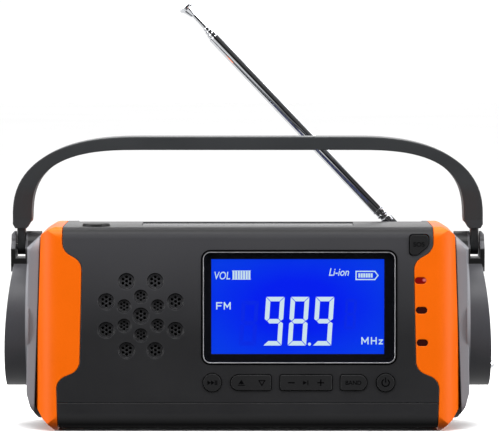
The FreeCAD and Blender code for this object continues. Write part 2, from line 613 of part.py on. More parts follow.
piece("button_sos", fuse(sos_tool("0", face_y, f"{wall_y} + 0.1"), sos_lip, stem(*sos_centre)))
light_top = "body_height + 1"
light_cap = cylinder("z", "light_r", "body_height - wall - 0.1", light_top, "light_x", "light_y")
light_lip = cylinder("z", "light_r + 0.8", "body_height - wall - 1.1", "body_height - wall - 0.05",
                     "light_x", "light_y")
light_stem = cylinder("z", 1.6, "67.1", "body_height - wall - 1", "light_x", "light_y")
rounded_light = doc.addObject("Part::Chamfer", "Chamfer")
light_solid = fuse(light_cap, light_lip, light_stem)
doc.recompute()
rounded_light.Base = light_solid
rim = [i for i, e in enumerate(light_solid.Shape.Edges, start=1)
       if abs(e.BoundBox.ZMin - size("body_height") - 1) < 1e-6 and e.BoundBox.ZLength < 1e-6]
rounded_light.Edges = [(i, 0.35, 0.35) for i in rim]
piece("button_light", rounded_light)

switch_places = [(x, "row_z") for x in ROUND_KEYS.values()]
switch_places += [(x, "row_z") for places in key_stems.values() for x in places]
switch_places += [sos_centre]
switches = []
for x, z in switch_places:
    case = box(f"{x} - 2.6", f"{x} + 2.6", "board_front - 3.4", "board_front", f"{z} - 2.6", f"{z} + 2.6")
    switches.append(fuse(case, cylinder("y", 1.4, switch_tip, "board_front - 3.3", x, z)))
light_case = box("light_x - 2.6", "light_x + 2.6", "light_y - 2.6", "light_y + 2.6", 63.2, 65.8)
switches.append(fuse(light_case, cylinder("z", 1.4, 65.7, 66.4, "light_x", "light_y")))
piece("tact_switches", group(*switches))

# ---------------------------------------------------------------- speaker
speaker_at = {"x": "speaker_x", "z": "speaker_z"}
piece("speaker_dust_mesh", cylinder("y", 17, f"{wall_y} + 0.02", f"{wall_y} + 0.3", "speaker_x", "speaker_z"))
basket = turned("y", [(16.2, 0), ("speaker_r", 0), ("speaker_r", 1.6), (17.1, 1.6), (11.4, 11), (11.4, 12.6),
                      (4.6, 12.6), (4.6, 11.8), (10.6, 11.8), (10.6, 11), (16.2, 1.6)],
                y=f"{wall_y} + 0.35", **speaker_at)
magnet = turned("y", [(0, -1.2), (4.2, -1.2), (4.2, 0), (11, 0), (11, 4.6), (0, 4.6)],
                y=f"{wall_y} + 13", **speaker_at)
piece("speaker_frame", group(basket, magnet))
piece("speaker_cone", turned("y", [(0, 3), (3.6, 4.2), (4.4, 6.8), (15, 0.9), (15.6, 0.2), (16, 0.9),
                                   (15.5, 1.5), (14.6, 1.9), (5, 7.6), (3.4, 8.4), (3, 5), (0, 3.8)],
                              y=f"{wall_y} + 0.75", **speaker_at))

# ---------------------------------------------------------------- boards, radio and power
board_back = "board_front + board_thick"
main = fuse(box(-17, 55.5, "board_front", board_back, 8, 68.5),
            box(55.4, 64.6, "board_front", board_back, 48, 68.5))
board_bores = [cylinder("y", 2.9, "board_front - 1", f"{board_back} + 1", x, z) for x, z in BOSSES[2:]]
main_board = cut(main, *board_bores)
tuner_shield = cut(box(0, 24, f"{board_back} + 0.02", f"{board_back} + 3.4", 44, 62),
                   box(0.4, 23.6, board_back, f"{board_back} + 3", 44.4, 61.6))
CHIPS = ((30, 50, 10, 10), (4, 30, 8, 6), (-12, 50, 7, 5), (24, 28, 9, 9), (44, 52, 6, 5))
chips = [box(x, f"{x} + {w}", f"{board_back} + 0.02", f"{board_back} + 1.4", z, f"{z} + {tall}")
         for x, z, w, tall in CHIPS]
piece("board_chips", group(tuner_shield, *chips))
switch_board = box("light_x - 4.6", "light_x + 4.6", "light_y - 4.6", "light_y + 4.6", 62, 63.18)
ferrite_bar = cylinder("x", 4, -44, 16, 6, 63)
coil = cut(cylinder("x", 5, -30, -8, 6, 63), cylinder("x", 4.02, -31, -7, 6, 63))
piece("ferrite_aerial", group(ferrite_bar, coil))
cell_can = cylinder("x", "cell_r", "cell_left", "cell_right - 1.4", "cell_y", "cell_z")
cell_cap = cylinder("x", 4, "cell_right - 1.5", "cell_right", "cell_y", "cell_z")
piece("battery_cell", fuse(cell_can, cell_cap))
cradle = box("cell_left - 2.4", "cell_right + 2.4", "cell_y - 10.4", "cell_y + 8.8",
             "belly_lift + wall + 0.05", 12)
cradle_hollow = cylinder("x", "cell_r + 0.1", "cell_left - 0.6", "cell_right + 0.6", "cell_y", "cell_z")
piece("battery_holder", cut(cradle, cradle_hollow))
piece("solar_cells", box(-37.8, 37.8, -11.8, 11.8, "body_height - 1.28", "body_height - 1"))
piece("solar_window", box(-38, 38, -12, 12, "body_height - 0.98", "body_height - 0.25"))

# rear sockets
piece("circuit_boards", group(main_board, switch_board, box(-49, -5, 6, 24, 33, 34.6)))
usb_a = cut(box(-46.8, -33.8, 11, 25.4, 34.65, 41.8), box(-46.2, -34.4, 13, 26, 35.3, 41.2))
usb_tongue = box(-45.4, -35.2, 12.9, 24.6, 38.9, 40.4)
charge = cut(box(-29.1, -21.1, 17, 25.4, 34.65, 38.9), box(-28.6, -21.6, 19, 26, 36, 38.4))
piece("usb_sockets", group(fuse(usb_a, usb_tongue), charge))
jack_body = fuse(box(-15, -7, 12, 24.7, 34.65, 42.4), cylinder("y", 2.2, 24.6, f"{rear_y} - 0.3", -11, 38.4))
piece("headphone_jack", cut(jack_body, cylinder("y", 1.8, 13, 28, -11, 38.4)))
flap = fuse(box(-49.8, -18.2, f"{rear_y} - 1.2", f"{rear_y} - 0.1", 33.2, 44.8),
            cylinder("x", 0.55, -49.8, -18.2, f"{rear_y} - 0.65", 33.2))
piece("port_cover", fuse(flap, box(-36, -32, f"{rear_y} - 0.2", f"{rear_y} + 0.5", 43.4, 44.6)))


# ---------------------------------------------------------------- antenna
mast_turn = Rotation(Vector(0, 1, 0), size("mast_tilt") - 90)


def lean(name, item):
    """Tip an upright piece of the mast over about the tilt pin."""
    item.Placement = FreeCAD.Placement(Vector(), mast_turn)
    return piece(name, put(item, "mast_x", "mast_y", "mast_z"))


def mast_body(name, points):
    body = turned("z", points)
    return lean(name, body)


base_disc = cylinder("z", 3.6, "channel_floor + 0.05", "channel_floor + 0.6", "mast_x", "mast_y")
ears = [fuse(cylinder("y", 2.5, y, f"{y} + 1.3", "mast_x", "mast_z"),
             box("mast_x - 2.5", "mast_x + 2.5", y, f"{y} + 1.3", "channel_floor + 0.5", "mast_z"))
        for y in ("mast_y - 2.6", "mast_y + 1.3")]
post = cylinder("z", 2.5, "channel_floor - 4.5", "channel_floor + 0.1", "mast_x", "mast_y")
ear_bores = cylinder("y", 0.8, "mast_y - 4", "mast_y + 4", "mast_x", "mast_z")
tilt_pin = cylinder("y", 0.78, "mast_y - 2.55", "mast_y + 2.55", "mast_x", "mast_z")
piece("antenna_swivel", group(cut(fuse(base_disc, *ears, post), ear_bores), tilt_pin))
nut_ring = cut(cylinder("z", 2.85, "channel_floor - 3.6", "channel_floor - wall - 0.05", "mast_x", "mast_y"),
               cylinder("z", 2.55, "channel_floor - 5", "channel_floor", "mast_x", "mast_y"))
piece("antenna_nut", nut_ring)

knuckle_flat = common(box(-2.3, 2.3, -1.2, 1.2, -3, 8), cylinder("y", 2.3, -1.2, 1.2, 0, 0))
knuckle_neck = box(-2.1, 2.1, -1.2, 1.2, 0, 6)
knuckle_turned = turned("z", [(0, 4.6), (2, 4.6), (2.25, 5), (2.25, 6.6), (1.9, 7), (1.9, 7.6), (2.35, 7.8),
                              (2.35, 8.4), (2.1, 8.6), (2.1, 10), (2.4, 10.15), (2.4, "tube_start"),
                              (0, "tube_start")])
knuckle_pin = cylinder("y", 0.8, -3, 3, 0, 0)
lean("antenna_knuckle", cut(fuse(knuckle_flat, knuckle_neck, knuckle_turned), knuckle_pin))
TUBES = (1, 2, 3, 4)
for n in TUBES:
    radius = f"tube_{n}_r"
    bore_r = (f"tube_{n + 1}_r" if n < 4 else "rod_r") + " + tube_play"
    start = "tube_start" if n == 1 else f"tube_start + {1.2 * n:.1f}"
    end = f"tube_{n}_end"
    mast_body(f"antenna_tube_{n}", [(bore_r, start), (radius, start), (radius, f"{end} - 0.25"),
                                    (f"{radius} - 0.15", end), (bore_r, end)])
mast_body("antenna_rod", [(0, 17), ("rod_r", 17), ("rod_r", "rod_end"), (1.15, "rod_end"),
                          ("knob_r - 0.5", "knob_end - 1.9"), ("knob_r", "knob_end - 1.4"),
                          ("knob_r", "knob_end - 0.6"), ("knob_r - 0.7", "knob_end"), (0, "knob_end")])


# ---------------------------------------------------------------- flashlight end
boss_at = {"z": "boss_z"}
lamp_face = "(-84.2)"
piece("flashlight_lens", cylinder("x", "boss_bore_r - 0.1", lamp_face, f"{lamp_face} + 1.4", 0, "boss_z"))
bowl = [(3.1, 0), (4.6, 1.2), (8.5, 4), (13, 6.8), (19, 8.6), ("boss_bore_r - 0.2", 8.6),
        ("boss_bore_r - 0.2", 7.6), (14, 5.6), (9.4, 2.8), (5.6, 0), (5.6, -1.2), (3.1, -1.2)]
reflector = turned("x", [(radius, f"-({depth})") for radius, depth in bowl], x=-74.1, **boss_at)
piece("flashlight_reflector", reflector)
led_disc = cylinder("x", 12, -72.8, -71.2, 0, "boss_z")
piece("flashlight_led", fuse(led_disc, cylinder("x", 2.6, -75.4, -72.7, 0, "boss_z")))


# ---------------------------------------------------------------- crank, gears and generator
def involute_gear(teeth, width, bore_r, phase, tip=0.75, backlash=0.2):
    """A spur gear about X: involute flanks, thinned by a little backlash, with short tips."""
    module = size("module_mm")
    pitch_r = module * teeth / 2
    base_r = pitch_r * math.cos(math.radians(20))
    tip_r = pitch_r + tip * module
    root_r = pitch_r - 1.1 * module
    involute = math.tan(math.radians(20)) - math.radians(20)
    half_angle = (math.pi * module / 2 - backlash) / (2 * pitch_r) + involute

    def flank(radius):
        if radius <= base_r:
            return half_angle
        roll = math.acos(base_r / radius)
        return half_angle - (math.tan(roll) - roll)

    start_r = max(base_r, root_r + 0.02)
    radii = [start_r + (tip_r - start_r) * i / 3 for i in range(4)]
    edges = []

    def point(radius, angle):
        return Vector(0, radius * math.cos(angle), radius * math.sin(angle))

    for k in range(teeth):
        mid = math.radians(phase) + k * math.tau / teeth
        after = mid + math.tau / teeth
        up = [point(r, mid - flank(r)) for r in radii]
        down = [point(r, mid + flank(r)) for r in reversed(radii)]
        foot_up = point(root_r, mid - half_angle)
        foot_down = point(root_r, mid + half_angle)
        next_foot = point(root_r, after - half_angle)
        rise = Part.BSplineCurve()
        rise.interpolate(up)
        fall = Part.BSplineCurve()
        fall.interpolate(down)
        edges += [Part.makeLine(foot_up, up[0]), rise.toShape(),
                  Part.Arc(up[-1], point(tip_r, mid), down[0]).toShape(), fall.toShape(),
                  Part.makeLine(down[-1], foot_down),
                  Part.Arc(foot_down, point(root_r, (mid + after) / 2), next_foot).toShape()]
    disc = Part.Face(Part.Wire(edges)).extrude(Vector(width, 0, 0))
    if bore_r:
        disc = disc.cut(Part.makeCylinder(bore_r, width + 2, Vector(-1, 0, 0), Vector(1, 0, 0)))
    return disc


def gear_at(gear, x, y, z):
    gear.translate(Vector(x, y, z))
    return gear


def rod_x(radius, x0, x1, y, z):
    return Part.makeCylinder(radius, x1 - x0, Vector(x0, y, z), Vector(1, 0, 0))


def heading(y0, z0, y1, z1):
    return math.degrees(math.atan2(z1 - z0, y1 - y0))


DRIVE = (0, size("boss_z"))
FIRST = (size("gear_1_y"), size("gear_1_z"))
SECOND = (size("gear_2_y"), size("gear_2_z"))
GENERATOR = (size("gen_y"), size("gen_z"))
PINION = 12
WHEEL = 36
DRIVE_TEETH = 48


def meshing(here, there, teeth_there):
    """Phases that put a tooth of one gear in the middle of a gap of the next."""
    line = heading(*here, *there)
    return line, line + 180 + 180 / teeth_there


drive_phase, first_phase = meshing(DRIVE, FIRST, PINION)
first_wheel_phase, second_phase = meshing(FIRST, SECOND, PINION)
second_wheel_phase, generator_phase = meshing(SECOND, GENERATOR, PINION)
hub = Part.makeCylinder(6, 3.2, Vector(65.8, *DRIVE), Vector(1, 0, 0))
shaft_hole = rod_x(size("shaft_r"), 60, 75, *DRIVE)
drive = gear_at(involute_gear(DRIVE_TEETH, 3, None, drive_phase), 66, *DRIVE)
shaped("drive_gear", drive.fuse(hub).cut(shaft_hole))
arbor_1 = rod_x(1, 56.2, 70.7, *FIRST)
first = gear_at(involute_gear(PINION, 4, None, first_phase), 65, *FIRST)
first_wheel = gear_at(involute_gear(WHEEL, 3, None, first_wheel_phase), 62, *FIRST)
shaped("gear_first", first.fuse([first_wheel, arbor_1]))
arbor_2 = rod_x(1, 56.2, 70.7, *SECOND)
second = gear_at(involute_gear(PINION, 4.3, None, second_phase), 61, *SECOND)
second_wheel = gear_at(involute_gear(WHEEL, 3, None, second_wheel_phase), 58, *SECOND)
shaped("gear_second", second.fuse([second_wheel, arbor_2]))
pinion = gear_at(involute_gear(PINION, 3.4, None, generator_phase), 57.8, *GENERATOR)
shaped("generator_pinion", pinion.fuse(rod_x(1, 50, 62, *GENERATOR)))

piece("crank_shaft", cylinder("x", "shaft_r", 57, 80, 0, "boss_z"))
rotor_disc = turned("x", [("shaft_r", "rotor_back"), (12.6, "rotor_back"), ("rotor_r", "rotor_back + 0.3"),
                          ("rotor_r", "rotor_face - 0.6"), ("rotor_r - 0.6", "rotor_face"), (0, "rotor_face"),
                          (0, 80), ("shaft_r", 80)], **boss_at)
hinge_ears = [fuse(cylinder("y", 1.2, y, f"{y} + 1.6", "hinge_x", "hinge_z"),
                   box("hinge_x - 1.6", "hinge_x", y, f"{y} + 1.6", "hinge_z - 1.2", "hinge_z + 1.2"))
              for y in ("arm_half + 0.15", "-arm_half - 1.75")]
well = cylinder("x", "well_r", "rotor_back + 0.6", "rotor_face + 1", 0, "knob_z")
pin_hole = cylinder("y", "hinge_r", -7, 7, "hinge_x", "hinge_z")
piece("crank_rotor", cut(fuse(rotor_disc, *hinge_ears), well, pin_hole))
hinge_pin = cylinder("y", "hinge_r - 0.05", "-arm_half - 1.7", "arm_half + 1.7", "hinge_x", "hinge_z")
arm_bar = box("arm_back", "crown_x", "-arm_half", "arm_half", "knob_z", "hinge_z")
arm_end = cylinder("x", "arm_half", "arm_back", "crown_x", 0, "knob_z")
arm_eye = cylinder("y", 1.15, "-arm_half", "arm_half", "hinge_x", "hinge_z")
arm_holes = [cylinder("y", "hinge_r - 0.05", -7, 7, "hinge_x", "hinge_z"),
             cylinder("x", "rivet_r", 80, 92, 0, "knob_z")]
piece("crank_arm", cut(fuse(common(fuse(arm_bar, arm_end), crown(0.35)), arm_eye), *arm_holes))
rivet = turned("x", [(0, 76.4), ("rivet_r", 76.4), ("rivet_r", "crown_x - 0.35"), ("nub_r", "crown_x - 0.35"),
                     ("nub_r", "crown_x"), ("nub_r - 1.1", "nub_x - 0.4"), ("nub_r - 1.6", "nub_x"),
                     (0, "nub_x")],
               z="knob_z")
piece("crank_pins", group(rivet, hinge_pin))
piece("crank_knob", cut(cone("x", "crank_knob_end_r", "crank_knob_r", 76, "arm_back - 0.4", 0, "knob_z"),
                        cylinder("x", "rivet_r + 0.06", 75, 85, 0, "knob_z")))
crank_bush = cut(cylinder("x", 4.5, 69.1, 71.6, 0, "boss_z"),
                 cylinder("x", "shaft_bore_r", 68, 73, 0, "boss_z"))

plates = []
for x0, x1, shaft_hole_r in ((56, 57.5, "shaft_bore_r"), (69.5, 70.9, 4.5)):
    slab = prism("YZ", rectangle(-21.3, 21.3, 8.5, 46), x0, x1, {corner: 1.2 for corner in range(4)})
    bores = [cylinder("x", shaft_hole_r, 55, 72, 0, "boss_z"),
             cylinder("x", 1.06, 55, 72, "gear_1_y", "gear_1_z"),
             cylinder("x", 1.06, 55, 72, "gear_2_y", "gear_2_z")]
    if x0 < 60:
        bores.append(cylinder("x", 1.3, 55, 72, "gen_y", "gen_z"))
    plates.append(cut(slab, *bores))
pillars = [cylinder("x", 1.9, 57.5, 69.5, y, z) for y, z in ((-19.4, 33.5), (19.3, 42.5), (19.6, 10.2))]
piece("gearbox_frame", group(*plates, *pillars, crank_bush))
can = cylinder("x", "gen_r", 42, 55.9, "gen_y", "gen_z")
piece("generator", cut(can, cylinder("x", 1.05, 49, 57, "gen_y", "gen_z")))

# ---------------------------------------------------------------- check and write
doc.recompute()
for item in doc.Objects:
    if {"Invalid", "Error"} & set(item.State):
        raise RuntimeError("did not compute: %s (%s)" % (item.Name, item.Label))
for name, item in PIECES.items():
    shape = item.Shape
    if shape.isNull() or not shape.isValid() or not shape.Solids:
        raise RuntimeError("not a valid solid: " + name)
    if min(solid.Volume for solid in shape.Solids) < 0.01:
        raise RuntimeError("a sliver was left in " + name)
os.makedirs("parts", exist_ok=True)
for name, item in PIECES.items():
    item.Shape.exportStep("parts/" + name + ".step")
    print("%-24s %3d solids %10.1f mm3" % (name, len(item.Shape.Solids), item.Shape.Volume))
print("%d nodes" % len(PIECES))
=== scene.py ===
"""Looks of the emergency radio: materials, display symbols, key symbols, floor, light and camera.

Metres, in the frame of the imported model: X along the radio, -Y is the front, Z is up.
"""
import math

import bmesh
import bpy
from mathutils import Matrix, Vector


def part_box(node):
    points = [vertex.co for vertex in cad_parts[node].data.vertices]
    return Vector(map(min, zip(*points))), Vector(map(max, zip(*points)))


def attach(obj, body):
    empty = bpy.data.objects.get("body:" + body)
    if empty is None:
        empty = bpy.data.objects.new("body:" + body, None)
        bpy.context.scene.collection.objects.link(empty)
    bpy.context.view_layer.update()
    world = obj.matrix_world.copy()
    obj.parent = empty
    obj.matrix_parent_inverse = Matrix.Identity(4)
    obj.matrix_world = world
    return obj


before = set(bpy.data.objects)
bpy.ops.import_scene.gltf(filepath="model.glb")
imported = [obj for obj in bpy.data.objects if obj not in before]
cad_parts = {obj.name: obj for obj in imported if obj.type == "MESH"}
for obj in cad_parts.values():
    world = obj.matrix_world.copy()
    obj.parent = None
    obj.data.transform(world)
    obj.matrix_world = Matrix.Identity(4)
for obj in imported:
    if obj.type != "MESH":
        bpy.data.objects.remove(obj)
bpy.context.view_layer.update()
MM = 0.001


# ---------------------------------------------------------------- node helpers
def linear(red, green, blue):
    """A screen colour, 0 to 255, as the linear RGBA that a shader takes."""
    def channel(value):
        value /= 255
        return value / 12.92 if value <= 0.04045 else ((value + 0.055) / 1.055) ** 2.4
    return channel(red), channel(green), channel(blue), 1.0


def middle(node):
    """The middle of a node's box."""
    low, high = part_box(node)
    return (low + high) / 2


class Look:
    """A material under construction: a node tree round one Principled shader."""

    def __init__(self, name):
        self.material = bpy.data.materials.new(name)
        self.material.use_nodes = True
        self.tree = self.material.node_tree
        self.shader = self.tree.nodes["Principled BSDF"]
        self.output = self.tree.nodes["Material Output"]
        self.place = self.add("ShaderNodeTexCoord").outputs["Object"]

    def add(self, kind, inputs=None, **settings):
        node = self.tree.nodes.new(kind)
        for name, value in settings.items():
            setattr(node, name, value)
        for name, value in (inputs or {}).items():
            self.feed(node.inputs[name], value)
        return node

    def feed(self, socket, value):
        if isinstance(value, bpy.types.NodeSocket):
            self.tree.links.new(value, socket)
        else:
            socket.default_value = value

    def set(self, **values):
        """Values or links for the shader's own sockets, such as Metallic=1."""
        for name, value in values.items():
            self.feed(self.shader.inputs[name.replace("_", " ")], value)
        return self

    def maths(self, operation, first, second=0.5):
        node = self.add("ShaderNodeMath", operation=operation)
        self.feed(node.inputs[0], first)
        self.feed(node.inputs[1], second)
        return node.outputs[0]

    def ramp(self, value, low, high, to_low, to_high):
        return self.add("ShaderNodeMapRange", {"Value": value, "From Min": low, "From Max": high,
                                               "To Min": to_low, "To Max": to_high}).outputs[0]

    def noise(self, size, detail=2.0):
        """Soft random patches about size metres across."""
        place = self.add("ShaderNodeMapping", {"Vector": self.place, "Scale": [1 / size] * 3})
        return self.add("ShaderNodeTexNoise", {"Vector": place.outputs[0], "Scale": 1.0,
                                               "Detail": detail}).outputs["Fac"]

    def grey(self, shade):
        return self.add("ShaderNodeCombineColor", {0: shade, 1: shade, 2: shade}).outputs[0]

    def blend(self, share, first, second, mode="MIX"):
        node = self.add("ShaderNodeMix", data_type="RGBA", blend_type=mode)
        self.feed(node.inputs["Factor"], share)
        self.feed([s for s in node.inputs if s.name == "A" and s.type == "RGBA"][0], first)
        self.feed([s for s in node.inputs if s.name == "B" and s.type == "RGBA"][0], second)
        return [s for s in node.outputs if s.type == "RGBA"][0]

    def axes(self):
        """The x, y and z of the point that is shaded."""
        return self.add("ShaderNodeSeparateXYZ", {"Vector": self.place}).outputs

    def facing(self):
        """The x, y and z of the direction that the surface faces."""
        normal = self.add("ShaderNodeTexCoord").outputs["Normal"]
        return self.add("ShaderNodeSeparateXYZ", {"Vector": normal}).outputs

    def paint(self):
        """What feeds the base colour so far."""
        return self.shader.inputs["Base Color"].links[0].from_socket

    def edges(self, radius):
        """The normal rounded over a radius at every edge, and how much of an edge a point is."""
        rounded = self.add("ShaderNodeBevel", {"Radius": radius}, samples=4).outputs["Normal"]
        plain = self.add("ShaderNodeNewGeometry").outputs["Normal"]
        dot = self.add("ShaderNodeVectorMath", {0: rounded, 1: plain}, operation="DOT_PRODUCT")
        return rounded, self.ramp(dot.outputs["Value"], 0.99, 0.8, 0.0, 1.0)

    def bump(self, height, depth, normal=None):
        node = self.add("ShaderNodeBump", {"Height": height, "Distance": depth, "Strength": 1.0})
        if normal is not None:
            self.feed(node.inputs["Normal"], normal)
        return node.outputs[0]


# ---------------------------------------------------------------- families of material
def moulded(name, colour, rough, grain=0.28 * MM, depth=0.012 * MM, tint=0.08, edge=0.25,
            round_by=0.3 * MM, edge_highlight=None, shine=0.4):
    """Moulded plastic or rubber: spark-eroded grain, faint flow patches, and edges painted paler as a
    painted highlight.
    """
    look = Look(name)
    normal, rim = look.edges(round_by)
    patches = look.noise(22 * MM, 3.0)
    grains = look.noise(grain, 2.0)
    shade = look.ramp(patches, 0.3, 0.7, 1 - tint, 1 + tint)
    speck = look.ramp(grains, 0.25, 0.75, 1 - tint, 1 + tint)
    both = look.maths("MULTIPLY", shade, speck)
    tinted = look.blend(1.0, linear(*colour), look.grey(both), "MULTIPLY")
    # The paler colour on the edges is a painted highlight, stronger in some patches than in others.
    paler = linear(*(edge_highlight or [min(255, c * 1.35 + 14) for c in colour]))
    share = look.maths("MULTIPLY", rim, look.ramp(patches, 0.35, 0.65, edge * 0.55, edge))
    colour_out = look.blend(share, tinted, paler)
    roughness = look.maths("ADD", look.ramp(grains, 0.3, 0.7, rough - 0.05, rough + 0.05),
                           look.ramp(patches, 0.3, 0.7, -0.03, 0.03))
    return look.set(Base_Color=colour_out, Roughness=roughness, Specular_IOR_Level=shine,
                    Normal=look.bump(grains, depth, normal))


def cap_zones(look):
    """The end caps, with painted light: the plate painted a paler grey as a painted highlight, a dark line
    painted where it meets the side panel as painted shade, the lugs on top painted dark on their front and
    back faces as painted shade, and the sloped corner above the plate painted dark as painted shade.
    """
    plate_edge, lug_edge, lug_foot = 79.4 * MM, 79.5 * MM, 57.6 * MM
    panel_edge, panel_foot, panel_lean = 76.3 * MM, 8.8 * MM, 0.0342
    corner_line, corner_slope = 138.6 * MM, 0.93
    x, _, z = look.axes()
    sideways = look.maths("ABSOLUTE", x)
    # Painted highlight: the plate is painted a paler grey.
    plate_highlight = look.ramp(sideways, plate_edge, plate_edge + 0.3 * MM, 1.0, 0.0)
    colour = look.blend(plate_highlight, look.paint(), linear(136, 136, 141))
    # Painted shade: a dark line is painted along the seam with the side panel.
    leaned = look.maths("MULTIPLY", look.maths("SUBTRACT", z, panel_foot), panel_lean)
    line = look.ramp(look.maths("ADD", sideways, leaned), panel_edge, panel_edge + 0.35 * MM, 1.0, 0.0)
    colour = look.blend(line, colour, linear(12, 12, 13))
    # Painted shade: the front and back faces of the lugs are painted near black.
    high = look.ramp(z, lug_foot, lug_foot + 0.4 * MM, 0.0, 1.0)
    outer = look.ramp(sideways, lug_edge, lug_edge + 0.3 * MM, 0.0, 1.0)
    forward = look.ramp(look.maths("ABSOLUTE", look.facing()[1]), 0.8, 0.95, 0.0, 1.0)
    lug = look.maths("MULTIPLY", look.maths("MULTIPLY", high, outer), forward)
    colour = look.blend(lug, colour, linear(10, 10, 11))
    # Painted shade: the sloped corner above the plate is painted dark.
    past_corner = look.maths("ADD", z, look.maths("MULTIPLY", sideways, corner_slope))
    above = look.ramp(past_corner, corner_line, corner_line + 0.4 * MM, 0.0, 1.0)
    inner = look.maths("MULTIPLY", above, plate_highlight)
    return look.set(Base_Color=look.blend(inner, colour, linear(30, 30, 32)))


def metal(name, colour, rough, grain=1.2 * MM, depth=0.002 * MM):
    """Metal with fine tumbled marks."""
    look = Look(name)
    normal, _ = look.edges(0.12 * MM)
    marks = look.noise(grain, 4.0)
    shade = look.ramp(marks, 0.3, 0.7, 0.9, 1.05)
    tinted = look.blend(1.0, linear(*colour), look.grey(shade), "MULTIPLY")
    return look.set(Base_Color=tinted, Metallic=1.0,
                    Roughness=look.ramp(marks, 0.3, 0.7, max(0.02, rough - 0.04), rough + 0.06),
                    Normal=look.bump(marks, depth, normal))


def front_fade(look):
    """The shell, with painted light: its front is painted paler towards the top, and what faces down is
    painted darker as painted shade and is duller.
    """
    _, y_way, z_way = look.facing()
    forward = look.ramp(look.maths("MULTIPLY", y_way, -1.0), 0.8, 0.99, 0.0, 1.0)
    # Painted light: the front face is painted paler towards the top.
    pale = look.maths("MULTIPLY", forward, look.ramp(look.axes()[2], 34 * MM, 67 * MM, 0.0, 1.0))
    colour = look.blend(pale, look.paint(), linear(58, 58, 61))
    # Painted shade: faces that look down are painted darker and also get less specular.
    down = look.ramp(look.maths("MULTIPLY", z_way, -1.0), 0.1, 0.6, 0.0, 1.0)
    sloped = look.maths("MULTIPLY", look.ramp(z_way, 0.15, 0.4, 0.0, 0.6),
                        look.ramp(z_way, 0.85, 0.98, 1.0, 0.0))
    bright = look.maths("SUBTRACT", 1.0, look.maths("MAXIMUM", down, sloped))
    return look.set(Base_Color=look.blend(down, colour, linear(9, 9, 10)),
                    Specular_IOR_Level=look.maths("ADD", look.maths("MULTIPLY", bright, 0.36), 0.04))


def bright_inside(look):
    """The frame around the display: bright metal along its inner edge, and along its outer one painted
    black as painted shade of the groove round it.
    """
    low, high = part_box("display_frame")
    corner = 3 * MM
    dark_from = corner - 0.34 * MM
    x, _, z = look.axes()
    beyond = []
    for along, start, end in ((x, low.x, high.x), (z, low.z, high.z)):
        off_centre = look.maths("ABSOLUTE", look.maths("SUBTRACT", along, (start + end) / 2))
        past = look.maths("MAXIMUM", look.maths("SUBTRACT", off_centre, (end - start) / 2 - corner), 0.0)
        beyond.append(look.maths("MULTIPLY", past, past))
    reach = look.maths("SQRT", look.maths("ADD", *beyond))
    # Painted shade: the outer band is painted black, standing in for the shaded groove round the frame.
    outer = look.ramp(reach, dark_from, dark_from + 0.08 * MM, 0.0, 1.0)
    return look.set(Base_Color=look.blend(outer, look.paint(), linear(10, 10, 11)))


def clear(name, colour, rough, haze=0.0, mirror=1.0, rings=None):
    """A clear window: what is behind shows through a faint tint, and the surface still shines."""
    look = Look(name)
    look.tree.nodes.remove(look.shader)
    marks = look.noise(6 * MM, 3.0)
    height = marks if rings is None else rings(look)
    normal = look.bump(height, 0.0015 * MM if rings is None else 0.25 * MM)
    through = look.add("ShaderNodeBsdfTransparent", {"Color": linear(*colour)})
    shine = look.add("ShaderNodeBsdfGlossy", {"Color": (mirror, mirror, mirror, 1), "Normal": normal,
                                              "Roughness": look.ramp(marks, 0.3, 0.7, rough, rough + 0.03)})
    facing = look.add("ShaderNodeFresnel", {"IOR": 1.45, "Normal": normal})
    behind = look.add("ShaderNodeNewGeometry").outputs["Backfacing"]
    front = look.maths("MULTIPLY", facing.outputs[0], look.maths("SUBTRACT", 1.0, behind))
    share = look.maths("ADD", front, look.ramp(marks, 0.3, 0.7, haze, haze * 1.5 + 0.002))
    mix = look.add("ShaderNodeMixShader", {0: share})
    look.tree.links.new(through.outputs[0], mix.inputs[1])
    look.tree.links.new(shine.outputs[0], mix.inputs[2])
    look.tree.links.new(mix.outputs[0], look.output.inputs["Surface"])
    return look


def glowing(name, colour, strength, far_colour=None, centre=(0, 0, 0), reach=(1, 1, 1), rough=0.3):
    """A lit surface that changes to another colour with the distance from a centre."""
    look = Look(name)
    cloud = look.noise(14 * MM, 2.0)
    offset = look.add("ShaderNodeVectorMath", {0: look.place, 1: centre}, operation="SUBTRACT")
    scaled = look.add("ShaderNodeVectorMath", {0: offset.outputs[0], 1: [1 / r for r in reach]},
                      operation="MULTIPLY")
    away = look.add("ShaderNodeVectorMath", {0: scaled.outputs[0]}, operation="LENGTH").outputs["Value"]
    uneven = look.maths("ADD", away, look.ramp(cloud, 0.3, 0.7, -0.05, 0.05))
    share = look.ramp(uneven, 0.45, 1.15, 0.0, 1.0)
    light = look.blend(share, linear(*colour), linear(*(far_colour or colour)))
    return look.set(Base_Color=look.blend(0.85, light, (0, 0, 0, 1)), Emission_Color=light,
                    Emission_Strength=strength, Roughness=rough)


